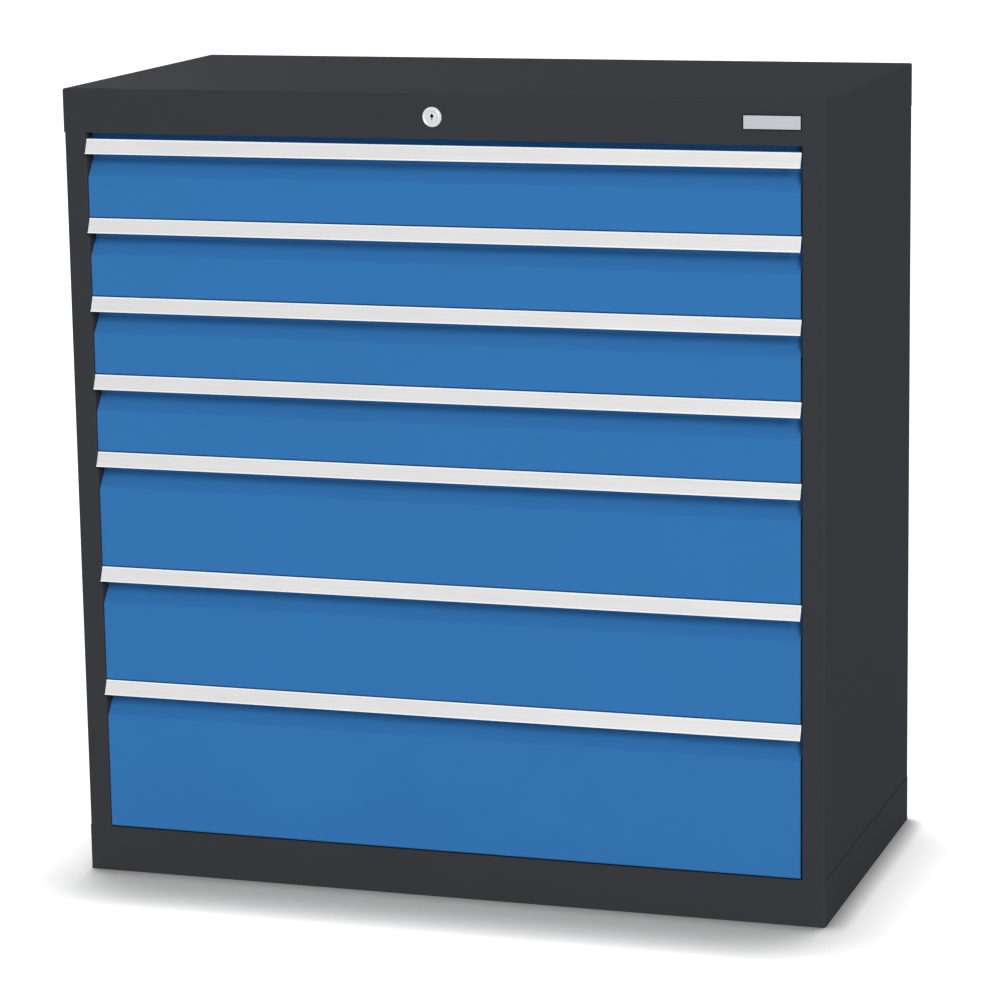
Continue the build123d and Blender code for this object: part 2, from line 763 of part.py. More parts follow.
def hook_bottom(runner_z):
    """Lowest edge of a hook with the lock open: just over the drawer rail's catch."""
    catch_top = runner_z + MIDDLE_HEIGHT / 2 + CATCH_RISE + CATCH_HEIGHT
    return catch_top + CATCH_GAP


def lock_hooks():
    """One hook for each drawer, welded to the lock bar's inner edge."""
    inner, _ = bar_span()
    tip = tray_half + rail_reach - HOOK_RAIL_GAP / 2
    hooks = []
    for _, _, runner_z in drawer_places():
        bottom = hook_bottom(runner_z)
        hook = block((tip, inner), (bar_y, bar_y + BAR_SHEET), (bottom, bottom + HOOK_HEIGHT))
        tip_edge = hook.edges().filter_by(Axis.Y).group_by(Axis.X)[0].sort_by(Axis.Z)[0]
        hooks.append(chamfer(tip_edge, HOOK_HEIGHT / 4))
    return hooks


def name_plate():
    """Bare plate on the header, in line with the drawer opening's right-hand edge."""
    return block(
        (opening_half - PLATE_WIDTH, opening_half),
        (-PLATE_THICKNESS, 0),
        (lock_z - PLATE_HEIGHT / 2, lock_z + PLATE_HEIGHT / 2),
    )


def save_housing():
    """Writes the pieces that stand still."""
    panel = side_panel()
    save("top_cap", [top_cap()])
    save("right_side_panel", [panel])
    save("left_side_panel", [mirror(panel, about=Plane.YZ)])
    save("rear_panel", [rear_panel()])
    save("base_frame", [base_frame()])
    save("floor_panel", [floor_panel()])
    save("right_uprights", right_uprights())
    save("left_uprights", left_uprights())
    save("cabinet_rails", on_both_sides([cabinet_rail(place[2]) for place in drawer_places()]))
    save("name_plate", [name_plate()])


def save_lock():
    """Writes the lock and what it drives."""
    save("lock_housing", [lock_housing()])
    save("lock_nut", [lock_nut()])
    save("lock_plug", [lock_plug()])
    save("lock_crank", [lock_crank()])
    save("lock_slider", [lock_slider()])
    save("lock_guides", lock_guides())
    save("lock_bar", [lock_bar()])
    save("lock_hooks", lock_hooks())


def save_drawers():
    """Writes the six nodes of each drawer, counted from the top."""
    for number, (top, front_bottom, runner_z) in enumerate(drawer_places(), start=1):
        name = f"drawer_{number}"
        save(f"{name}_tray", [tray(top, front_bottom)])
        face = front(top, front_bottom)
        if top == bay_top:
            face += dust_strip(top)
        save(f"{name}_front", [face])
        save(f"{name}_handle", [handle(top)])
        save(f"{name}_rails", drawer_rails(runner_z))
        save(f"{name}_middle_rails", on_both_sides([middle_rail(runner_z)]))
        save(f"{name}_rollers", on_both_sides(rollers(runner_z)))


os.makedirs("parts", exist_ok=True)
save_housing()
save_lock()
save_drawers()
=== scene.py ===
"""Looks of the workshop cabinet: finishes, slotted trays, rollers, handles, lock and plate, in a studio.

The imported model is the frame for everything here. Lengths are in metres, with +X to the right as seen
from the front, +Y towards the back and +Z up. The origin lies on the floor under the cabinet's middle.
"""
import json
import logging
import math
from collections.abc import Callable, Iterable, Mapping, Sequence
from dataclasses import dataclass, field
from enum import Enum
from typing import Any

import bmesh
import bpy
from mathutils import Matrix, Vector


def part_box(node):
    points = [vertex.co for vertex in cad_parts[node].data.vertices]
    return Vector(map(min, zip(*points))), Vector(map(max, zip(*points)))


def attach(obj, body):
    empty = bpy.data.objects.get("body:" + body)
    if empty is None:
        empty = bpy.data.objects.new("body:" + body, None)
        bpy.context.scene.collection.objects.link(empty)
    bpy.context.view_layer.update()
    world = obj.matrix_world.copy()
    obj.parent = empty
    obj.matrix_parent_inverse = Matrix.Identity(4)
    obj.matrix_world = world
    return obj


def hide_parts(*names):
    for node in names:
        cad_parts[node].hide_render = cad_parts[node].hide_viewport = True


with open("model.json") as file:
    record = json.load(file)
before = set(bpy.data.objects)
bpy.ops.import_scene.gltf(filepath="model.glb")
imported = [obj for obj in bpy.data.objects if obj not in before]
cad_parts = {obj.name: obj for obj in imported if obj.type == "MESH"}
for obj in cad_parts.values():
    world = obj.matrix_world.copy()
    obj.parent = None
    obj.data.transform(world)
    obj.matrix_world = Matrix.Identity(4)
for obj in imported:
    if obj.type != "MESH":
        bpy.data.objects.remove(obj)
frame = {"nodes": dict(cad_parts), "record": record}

DRAWERS = 7
MILLIMETRE = 0.001
TOUCH = 0.000001
MIDDLE = 0.5
ALIGNED = 0.9
BEVEL_STEPS = 2
WHITE = (1.0, 1.0, 1.0, 1.0)

log = logging.getLogger("cabinet")

Rgba = tuple[float, float, float, float]
Triple = tuple[float, float, float]
Shades = tuple[float, float]
Test = Callable[[Vector, Vector], bool]


class Bar(Enum):
    """Direction in which a round bar runs, with the turn that brings it there from upright."""

    ALONG_X = (0.0, math.pi / 2, 0.0)
    ALONG_Y = (math.pi / 2, 0.0, 0.0)


class Element(Enum):
    """What a selection in edit mode is made of, as the three switches of its select mode."""

    POINTS = (True, False, False)
    EDGES = (False, True, False)
    FACES = (False, False, True)


def anything(spot: Vector, way: Vector) -> bool:
    """Says yes to every element."""
    return True


def looks_forward(spot: Vector, normal: Vector) -> bool:
    """Whether a face looks to the front."""
    return normal.y < -ALIGNED


def looks_sideways(spot: Vector, normal: Vector) -> bool:
    """Whether a face looks to the left or to the right."""
    return abs(normal.x) > ALIGNED


def upright(line: Vector) -> bool:
    """Whether an edge runs up or down."""
    return abs(line.z) > ALIGNED


@dataclass(frozen=True)
class Colour:
    """A colour as a paint card gives it, with red, green and blue from 0 to 255."""

    red: int
    green: int
    blue: int

    def linear(self, share: float = 1.0) -> Rgba:
        """The colour as the renderer wants it.

        Args:
            share: Factor on the brightness, under 1 for a darker shade.

        Returns:
            Linear red, green, blue and an alpha of 1.
        """
        steps = (value / 255 for value in (self.red, self.green, self.blue))
        levels = (((step + 0.055) / 1.055) ** 2.4 if step > 0.04045 else step / 12.92 for step in steps)
        red, green, blue = (level * share for level in levels)
        return (red, green, blue, 1.0)


class Signal:
    """A value that changes over a surface. Python's operators on it add Math nodes."""

    def __init__(self, sheet: "ShaderSheet", socket: bpy.types.NodeSocket | None) -> None:
        """Wraps one output socket of a sheet."""
        self.sheet = sheet
        self.socket = socket

    def _maths(self, operation: str, first: "Operand", second: "Operand") -> "Signal":
        """Adds one Math node for an operation on two values."""
        return self.sheet.add("ShaderNodeMath", {"operation": operation}, {0: first, 1: second})

    def __add__(self, other: "Operand") -> "Signal":
        """self + other"""
        return self._maths("ADD", self, other)

    def __radd__(self, other: float) -> "Signal":
        """other + self"""
        return self._maths("ADD", other, self)

    def __sub__(self, other: "Operand") -> "Signal":
        """self - other"""
        return self._maths("SUBTRACT", self, other)

    def __rsub__(self, other: float) -> "Signal":
        """other - self"""
        return self._maths("SUBTRACT", other, self)

    def __mul__(self, other: "Operand") -> "Signal":
        """self * other"""
        return self._maths("MULTIPLY", self, other)

    def __rmul__(self, other: float) -> "Signal":
        """other * self"""
        return self._maths("MULTIPLY", other, self)

    def __lt__(self, other: "Operand") -> "Signal":
        """1 where self is under other, and 0 elsewhere"""
        return self._maths("LESS_THAN", self, other)

    def __gt__(self, other: "Operand") -> "Signal":
        """1 where self is over other, and 0 elsewhere"""
        return self._maths("GREATER_THAN", self, other)

    def __abs__(self) -> "Signal":
        """abs(self)"""
        return self.sheet.add("ShaderNodeMath", {"operation": "ABSOLUTE"}, {0: self})

    def either(self, other: "Operand") -> "Signal":
        """The larger of the two values."""
        return self._maths("MAXIMUM", self, other)


Operand = Signal | float


class ShaderSheet:
    """The node sheet of one material or of the world."""

    MIX_FACTOR = 0
    MIX_FIRST = 6
    MIX_SECOND = 7
    MIX_COLOUR = 2

    def __init__(self, tree: bpy.types.NodeTree) -> None:
        """Starts with an empty sheet."""
        self.tree = tree
        tree.nodes.clear()

    def add(
        self,
        kind: str,
        settings: Mapping[str, Any] | None = None,
        sockets: Mapping[int | str, Any] | None = None,
        output: int | str = 0,
    ) -> Signal:
        """Adds one node.

        Args:
            kind: The node's type.
            settings: Values set on the node first.
            sockets: Values or signals for the node's inputs, by name or by number.
            output: Which output the returned signal reads.

        Returns:
            The signal of that output, with no socket where the node has none.
        """
        node = self.tree.nodes.new(kind)
        for name, value in (settings or {}).items():
            setattr(node, name, value)
        for key, value in (sockets or {}).items():
            if isinstance(value, Signal):
                self.tree.links.new(value.socket, node.inputs[key])
            else:
                node.inputs[key].default_value = value
        return Signal(self, node.outputs[output] if node.outputs else None)

    def place(self, stretch: Triple = (1.0, 1.0, 1.0)) -> Signal:
        """Object coordinates, stretched by a factor along each axis."""
        spot = self.add("ShaderNodeTexCoord", output="Object")
        return self.add("ShaderNodeMapping", sockets={"Vector": spot, "Scale": stretch})

    def axis(self, name: str) -> Signal:
        """One of the X, Y and Z object coordinates."""
        return self.add("ShaderNodeSeparateXYZ", sockets={0: self.place()}, output=name)

    def noise(self, scale: float, detail: float = 2.0, stretch: Triple = (1.0, 1.0, 1.0)) -> Signal:
        """Smooth noise about 0.

        Args:
            scale: Ripples per metre.
            detail: Octaves.
            stretch: Factor on the coordinates along each axis.

        Returns:
            A signal from about -0.5 to 0.5.
        """
        cloud = self.add(
            "ShaderNodeTexNoise",
            sockets={"Vector": self.place(stretch), "Scale": scale, "Detail": detail},
            output="Fac",
        )
        return cloud - MIDDLE

    def tint(self, share: Operand, first: "Signal | Rgba", second: "Signal | Rgba") -> Signal:
        """Colour between two, by a share from 0 to 1."""
        return self.add(
            "ShaderNodeMix",
            {"data_type": "RGBA"},
            {self.MIX_FACTOR: share, self.MIX_FIRST: first, self.MIX_SECOND: second},
            self.MIX_COLOUR,
        )

    def shade(self, share: Operand, colour: Colour, shades: Shades) -> Signal:
        """Colour between its darkest and its lightest shade, by a share from 0 to 1."""
        darkest, lightest = shades
        return self.tint(share, colour.linear(darkest), colour.linear(lightest))

    def bump(self, height: Signal, depth: float) -> Signal:
        """Normal that is tilted by a height signal, with its depth in metres."""
        return self.add("ShaderNodeBump", sockets={"Height": height, "Distance": depth}, output="Normal")

    def surface(self, sockets: Mapping[int | str, Any]) -> None:
        """Ends the sheet with one Principled surface."""
        shader = self.add("ShaderNodeBsdfPrincipled", sockets=sockets)
        self.add("ShaderNodeOutputMaterial", sockets={"Surface": shader})


@dataclass(frozen=True)
class PowderCoat:
    """Baked powder paint: an even colour with fine orange peel and a faint change of gloss."""

    name: str
    colour: Colour
    shades: Shades = (0.95, 1.05)
    roughness: float = 0.66
    gloss: float = 0.0015
    cloud_ripples: float = 7.0
    cloud_share: float = 0.8
    cloud_matt: float = 0.1
    speck_ripples: float = 1488.0
    speck_share: float = 0.5
    peel_ripples: float = 620.0
    peel_depth: float = 0.00004
    peel_matt: float = 0.06

    def lay_out(self, sheet: ShaderSheet) -> None:
        """Draws the paint's nodes.

        Args:
            sheet: The material's empty node sheet.
        """
        cloud = sheet.noise(self.cloud_ripples, 3.0)
        speck = sheet.noise(self.speck_ripples, 1.0)
        peel = sheet.noise(self.peel_ripples, 2.0)
        share = cloud * self.cloud_share + speck * self.speck_share + MIDDLE
        sheet.surface(
            {
                "Base Color": sheet.shade(share, self.colour, self.shades),
                "Roughness": self.roughness + cloud * self.cloud_matt + peel * self.peel_matt,
                "Specular IOR Level": self.gloss,
                "Normal": sheet.bump(peel, self.peel_depth),
            }
        )


@dataclass(frozen=True)
class DrawnAluminium:
    """Satin anodised extrusion: fine lines along its length, which is X."""

    name: str
    colour: Colour
    roughness: float = 0.34
    shades: Shades = (0.93, 1.05)
    line_ripples: float = 900.0
    line_stretch: Triple = (0.006, 1.0, 1.0)
    line_share: float = 1.1
    line_matt: float = 0.16
    line_depth: float = 0.00002
    cloud_ripples: float = 9.0
    cloud_share: float = 0.5
    cloud_matt: float = 0.05

    def lay_out(self, sheet: ShaderSheet) -> None:
        """Draws the metal's nodes.

        Args:
            sheet: The material's empty node sheet.
        """
        lines = sheet.noise(self.line_ripples, 3.0, self.line_stretch)
        cloud = sheet.noise(self.cloud_ripples)
        share = lines * self.line_share + cloud * self.cloud_share + MIDDLE
        sheet.surface(
            {
                "Base Color": sheet.shade(share, self.colour, self.shades),
                "Roughness": self.roughness + lines * self.line_matt + cloud * self.cloud_matt,
                "Metallic": 1.0,
                "Normal": sheet.bump(lines, self.line_depth),
            }
        )


@dataclass(frozen=True)
class ZincPlate:
    """Zinc on rolled sheet: crystals of a little more or less gloss, and rolling lines along Y."""

    name: str
    colour: Colour
    roughness: float = 0.36
    crystals: float = 90.0
    crystal_share: float = 0.6
    crystal_matt: float = 0.08
    shades: Shades = (0.8, 1.12)
    line_ripples: float = 700.0
    line_stretch: Triple = (1.0, 0.01, 1.0)
    line_share: float = 0.3
    line_depth: float = 0.00001
    stain_ripples: float = 14.0
    stain_share: float = 0.8
    stain_matt: float = 0.14

    def lay_out(self, sheet: ShaderSheet) -> None:
        """Draws the plating's nodes.

        Args:
            sheet: The material's empty node sheet.
        """
        flake = sheet.add(
            "ShaderNodeTexVoronoi",
            {"feature": "F1"},
            {"Vector": sheet.place(), "Scale": self.crystals},
            "Color",
        )
        grey = sheet.add("ShaderNodeSeparateColor", sockets={0: flake}) - MIDDLE
        lines = sheet.noise(self.line_ripples, 2.0, self.line_stretch)
        stain = sheet.noise(self.stain_ripples, 4.0)
        share = grey * self.crystal_share + lines * self.line_share + stain * self.stain_share + MIDDLE
        sheet.surface(
            {
                "Base Color": sheet.shade(share, self.colour, self.shades),
                "Roughness": self.roughness + grey * self.crystal_matt + stain * self.stain_matt,
                "Metallic": 1.0,
                "Normal": sheet.bump(lines, self.line_depth),
            }
        )


@dataclass(frozen=True)
class Nylon:
    """Cast nylon of the rollers: faintly mottled and grained."""

    name: str
    colour: Colour
    shades: Shades = (0.88, 1.04)
    roughness: float = 0.48
    gloss: float = 0.4
    mottle_ripples: float = 260.0
    mottle_matt: float = 0.2
    grain_ripples: float = 1800.0
    grain_depth: float = 0.00002

    def lay_out(self, sheet: ShaderSheet) -> None:
        """Draws the plastic's nodes.

        Args:
            sheet: The material's empty node sheet.
        """
        mottle = sheet.noise(self.mottle_ripples, 3.0)
        grain = sheet.noise(self.grain_ripples, 1.0)
        sheet.surface(
            {
                "Base Color": sheet.shade(mottle + MIDDLE, self.colour, self.shades),
                "Roughness": self.roughness + mottle * self.mottle_matt,
                "Specular IOR Level": self.gloss,
                "Normal": sheet.bump(grain, self.grain_depth),
            }
        )


@dataclass(frozen=True)
class TurnedNickel:
    """Nickel plate on a turned face: rings round the lock's axis."""

    name: str
    colour: Colour
    centre_x: float
    centre_z: float
    roughness: float = 0.26
    shades: Shades = (0.86, 1.06)
    ring_pitch: float = 0.00035
    ring_matt: float = 0.02
    ring_depth: float = 0.000004
    stain_ripples: float = 160.0
    stain_matt: float = 0.16

    def lay_out(self, sheet: ShaderSheet) -> None:
        """Draws the plating's nodes.

        Args:
            sheet: The material's empty node sheet.
        """
        across = sheet.axis("X") - self.centre_x
        up = sheet.axis("Z") - self.centre_z
        radius = sheet.add("ShaderNodeMath", {"operation": "SQRT"}, {0: across * across + up * up})
        phase = radius * (math.tau / self.ring_pitch)
        turns = sheet.add("ShaderNodeMath", {"operation": "SINE"}, {0: phase})
        stain = sheet.noise(self.stain_ripples, 3.0)
        sheet.surface(
            {
                "Base Color": sheet.shade(stain + MIDDLE, self.colour, self.shades),
                "Roughness": self.roughness + stain * self.stain_matt + turns * self.ring_matt,
                "Metallic": 1.0,
                "Normal": sheet.bump(turns, self.ring_depth),
            }
        )


@dataclass(frozen=True)
class PlateMetal:
    """Bare aluminium plate with a thin dark line round its edge."""

    name: str
    colour: Colour
    centre_x: float
    centre_z: float
    half_width: float
    half_height: float
    border: float = 0.0013
    outline_colour: Colour = Colour(24, 26, 30)
    shades: Shades = (0.9, 1.06)
    roughness: float = 0.36
    outline_matt: float = 0.1
    metal: float = 0.85
    gloss: float = 0.05
    line_ripples: float = 1400.0
    line_stretch: Triple = (0.02, 1.0, 1.0)
    line_share: float = 1.2
    line_matt: float = 0.2
    line_depth: float = 0.000008

    def lay_out(self, sheet: ShaderSheet) -> None:
        """Draws the plate's nodes.

        Args:
            sheet: The material's empty node sheet.
        """
        across = abs(sheet.axis("X") - self.centre_x) > self.half_width - self.border
        up = abs(sheet.axis("Z") - self.centre_z) > self.half_height - self.border
        on_outline = across.either(up)
        lines = sheet.noise(self.line_ripples, 2.0, self.line_stretch)
        metal = sheet.shade(lines * self.line_share + MIDDLE, self.colour, self.shades)
        sheet.surface(
            {
                "Base Color": sheet.tint(on_outline, metal, self.outline_colour.linear()),
                "Roughness": self.roughness + lines * self.line_matt + on_outline * self.outline_matt,
                "Metallic": self.metal - on_outline * self.metal,
                "Specular IOR Level": self.gloss,
                "Normal": sheet.bump(lines, self.line_depth),
            }
        )


@dataclass(frozen=True)
class KeyholeShade:
    """Painted shade inside the keyhole: a near-black colour on its walls, mottled by noise."""

    name: str = "keyhole_painted_shade"
    # Near-black colour that stands in for the shade deep in the keyhole: painted shade.
    colour: Colour = Colour(26, 24, 20)
    shades: Shades = (0.5, 1.4)
    roughness: float = 0.7
    gloss: float = 0.1
    shade_mottle_ripples: float = 900.0
    shade_mottle_matt: float = 0.2

    def lay_out(self, sheet: ShaderSheet) -> None:
        """Draws the painted shade's dark colour and its mottle.

        Args:
            sheet: The material's empty node sheet.
        """
        shade_mottle = sheet.noise(self.shade_mottle_ripples)
        sheet.surface(
            {
                "Base Color": sheet.shade(shade_mottle + MIDDLE, self.colour, self.shades),
                "Roughness": self.roughness + shade_mottle * self.shade_mottle_matt,
                "Specular IOR Level": self.gloss,
            }
        )


Finish = PowderCoat | DrawnAluminium | ZincPlate | Nylon | TurnedNickel | PlateMetal | KeyholeShade


class PaintShop:
    """Makes each finish's material once and puts it on pieces."""

    def __init__(self) -> None:
        """Starts with no materials made."""
        self.made: dict[str, bpy.types.Material] = {}

    def material(self, finish: Finish) -> bpy.types.Material:
        """The finish's material, made at its first use.

        Args:
            finish: Any of the finishes.

        Returns:
            The one material that all pieces with this finish share.
        """
        if finish.name not in self.made:
            material = bpy.data.materials.new(finish.name)
            material.use_nodes = True
            finish.lay_out(ShaderSheet(material.node_tree))
            self.made[finish.name] = material
        return self.made[finish.name]

    def dress(self, piece: bpy.types.Object, finish: Finish) -> None:
        """Puts the finish on every material slot of a piece.

        Args:
            piece: The piece's object, with or without slots.
            finish: The finish that it gets all over.
        """
        material = self.material(finish)
        if not piece.material_slots:
            piece.data.materials.append(material)
        for slot in piece.material_slots:
            slot.material = material

    def dress_area(self, piece: "Workpiece", finish: Finish, test: Test) -> None:
        """Puts a finish on some faces of a dressed piece.

        Args:
            piece: The piece, dressed before.
            finish: The finish of those faces.
            test: Says yes to a face's middle and normal.
        """
        piece.ready()
        bpy.ops.object.material_slot_add()
        piece.thing.material_slots[-1].material = self.material(finish)
        piece.pick(Element.FACES, test)
        bpy.ops.object.material_slot_assign()
        piece.ready()


class Workpiece:
    """One mesh, shaped in edit mode with Blender's operators and finished with modifiers."""

    def __init__(self, thing: bpy.types.Object, name: str) -> None:
        """Takes over a new object and bakes its place into its mesh.

        Args:
            thing: The object, active and selected.
            name: Its new name, and its mesh's.
        """
        self.thing = thing
        thing.name = name
        thing.data.name = name
        bpy.ops.object.transform_apply(location=True, rotation=True, scale=True)

    @staticmethod
    def leave() -> None:
        """Leaves edit mode and deselects everything."""
        if bpy.context.mode != "OBJECT":
            bpy.ops.object.mode_set(mode="OBJECT")
        bpy.ops.object.select_all(action="DESELECT")

    @classmethod
    def block(cls, name: str, low: Vector, high: Vector) -> "Workpiece":
        """Starts from a cube between two corners.

        Args:
            name: The piece's name.
            low: The corner with the lowest coordinates.
            high: The corner with the highest coordinates.

        Returns:
            The piece, in object mode.
        """
        cls.leave()
        bpy.ops.mesh.primitive_cube_add(size=1, location=(low + high) / 2, scale=high - low)
        return cls(bpy.context.active_object, name)

    @classmethod
    def round_bar(
        cls, name: str, centre: Vector, radius: float, length: float, bar: Bar, sides: int
    ) -> "Workpiece":
        """Starts from a cylinder round its centre.

        Args:
            name: The piece's name.
            centre: Middle of its axis.
            radius: Its radius.
            length: Its length along the axis.
            bar: Which way the axis runs.
            sides: How many flat sides it has.

        Returns:
            The piece, in object mode.
        """
        cls.leave()
        bpy.ops.mesh.primitive_cylinder_add(
            vertices=sides, radius=radius, depth=length, location=centre, rotation=bar.value
        )
        return cls(bpy.context.active_object, name)

    @classmethod
    def outline(cls, name: str, points: Sequence[Vector]) -> "Workpiece":
        """Starts from one flat face, drawn point by point as an extruded corner.

        Args:
            name: The piece's name.
            points: The face's corners in order.

        Returns:
            The piece, with its face selected in edit mode.
        """
        cls.leave()
        bpy.ops.mesh.primitive_plane_add(size=MILLIMETRE, location=points[0])
        piece = cls(bpy.context.active_object, name)
        piece.pick(Element.POINTS, anything)
        bpy.ops.mesh.merge(type="CENTER")
        for before, after in zip(points, points[1:]):
            bpy.ops.mesh.extrude_region_move(TRANSFORM_OT_translate={"value": after - before})
        bpy.ops.mesh.select_all(action="SELECT")
        bpy.ops.mesh.edge_face_add()
        return piece

    def ready(self) -> "Workpiece":
        """Selects this piece alone, in object mode.

        Returns:
            The same piece, for the next step.
        """
        self.leave()
        self.thing.select_set(True)
        bpy.context.view_layer.objects.active = self.thing
        return self

    def pick(self, element: Element, test: Test) -> "Workpiece":
        """Selects elements in edit mode by their middle and direction.

        Args:
            element: Points, edges or faces.
            test: Says yes to a middle and a normal, or for an edge its direction.

        Returns:
            The piece, in edit mode.
        """
        if bpy.context.mode != "EDIT_MESH" or bpy.context.active_object != self.thing:
            self.ready()
            bpy.ops.object.mode_set(mode="EDIT")
        bpy.context.tool_settings.mesh_select_mode = element.value
        bpy.ops.mesh.select_all(action="DESELECT")
        mesh = bmesh.from_edit_mesh(self.thing.data)
        mesh.select_mode = {element.name[:-1].replace("POINT", "VERT")}
        if element is Element.FACES:
            for face in mesh.faces:
                face.select_set(bool(test(face.calc_center_median(), face.normal)))
        elif element is Element.EDGES:
            for edge in mesh.edges:
                start, end = (corner.co for corner in edge.verts)
                edge.select_set(bool(test((start + end) / 2, (end - start).normalized())))
        else:
            for point in mesh.verts:
                point.select_set(bool(test(point.co, point.normal)))
        mesh.select_flush_mode()
        bmesh.update_edit_mesh(self.thing.data)
        return self

    def extrude(self, move: Vector) -> "Workpiece":
        """Extrudes what is selected."""
        bpy.ops.mesh.extrude_region_move(TRANSFORM_OT_translate={"value": move})
        return self

    def inset(self, border: float, depth: float = 0.0) -> "Workpiece":
        """Insets the selected faces, and sinks or raises them."""
        bpy.ops.mesh.inset(thickness=border, depth=depth)
        return self

    def scale(self, factors: Sequence[float], centre: Vector) -> "Workpiece":
        """Scales what is selected about a point."""
        bpy.ops.transform.resize(value=factors, center_override=centre)
        return self

    def drop(self, kind: str) -> "Workpiece":
        """Deletes the selected VERT, EDGE or FACE elements."""
        bpy.ops.mesh.delete(type=kind)
        return self

    def cap(self) -> "Workpiece":
        """Closes the selected edges with one face."""
        bpy.ops.mesh.edge_face_add()
        return self

    def weld(self, reach: float = 0.00001) -> "Workpiece":
        """Merges points that lie together and turns all faces outwards.

        Args:
            reach: How far apart such points may lie.

        Returns:
            The same piece, in edit mode.
        """
        self.pick(Element.POINTS, anything)
        bpy.ops.mesh.remove_doubles(threshold=reach)
        bpy.ops.mesh.normals_make_consistent(inside=False)
        return self

    def modify(self, kind: str, **settings: Any) -> "Workpiece":
        """Adds a modifier, sets it and applies it.

        Args:
            kind: The modifier's type.
            **settings: Its values, by name.

        Returns:
            The same piece, in object mode.
        """
        self.ready()
        modifier = self.thing.modifiers.new(kind.title(), kind)
        for name, value in settings.items():
            setattr(modifier, name, value)
        bpy.ops.object.modifier_apply(modifier=modifier.name)
        return self

    def round_off(self, width: float, angle: float = 40.0) -> "Workpiece":
        """Bevels every sharp edge.

        Args:
            width: How wide the bevel is.
            angle: Angle in degrees past which an edge counts as sharp.

        Returns:
            The same piece, in object mode.
        """
        return self.modify(
            "BEVEL",
            width=width,
            segments=BEVEL_STEPS,
            limit_method="ANGLE",
            angle_limit=math.radians(angle),
            harden_normals=False,
        )

    def cut(self, cutter: "Workpiece") -> "Workpiece":
        """Takes another piece's shape out of this one.

        Args:
            cutter: The other piece, which is deleted.

        Returns:
            The same piece, in object mode.
        """
        self.modify("BOOLEAN", operation="DIFFERENCE", solver="EXACT", object=cutter.thing)
        bpy.data.objects.remove(cutter.thing)
        return self

    def copy(self, name: str, move: Vector) -> "Workpiece":
        """A copy with its own mesh, moved.

        Args:
            name: The copy's name.
            move: How far it is moved.

        Returns:
            The copy.
        """
        self.ready()
        bpy.ops.object.duplicate(linked=False)
        bpy.ops.transform.translate(value=move)
        return Workpiece(bpy.context.active_object, name)

    def mirrored(self, name: str) -> "Workpiece":
        """A copy for the other side of the cabinet.

        Args:
            name: The copy's name.

        Returns:
            The copy, mirrored about the cabinet's middle.
        """
        twin = self.copy(name, Vector((0.0, 0.0, 0.0)))
        twin.pick(Element.POINTS, anything)
        twin.scale((-1.0, 1.0, 1.0), Vector((0.0, 0.0, 0.0)))
        bpy.ops.mesh.flip_normals()
        return twin

    def join(self, others: Iterable["Workpiece"]) -> "Workpiece":
        """Takes other pieces into this one.

        Args:
            others: The pieces, which stop being objects of their own.

        Returns:
            The same piece, in object mode.
        """
        self.ready()
        for other in others:
            other.thing.select_set(True)
        bpy.ops.object.join()
        return self

    def smooth(self, angle: float = 35.0) -> "Workpiece":
        """Shades smooth wherever the faces meet at a low angle.

        Args:
            angle: The largest such angle, in degrees.

        Returns:
            The same piece, in object mode.
        """
        self.ready()
        bpy.ops.object.shade_smooth_by_angle(angle=math.radians(angle))
        return self

    def flatten(self) -> "Workpiece":
        """Lets the large faces keep their own normals, so that only the edges shade round."""
        return self.modify("WEIGHTED_NORMAL", keep_sharp=True, weight=100)

    def ride(self, body: str, slot: str, *nodes: str) -> bpy.types.Object:
        """Hands the finished piece over.

        Args:
            body: The body that it moves with.
            slot: The record's material slot for the piece; not used.
            nodes: The nodes that it stands for.

        Returns:
            The piece's object.
        """
        self.leave()
        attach(self.thing, body)
        if nodes:
            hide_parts(*nodes)
        log.info("%s rides on %s", self.thing.name, body)
        return self.thing


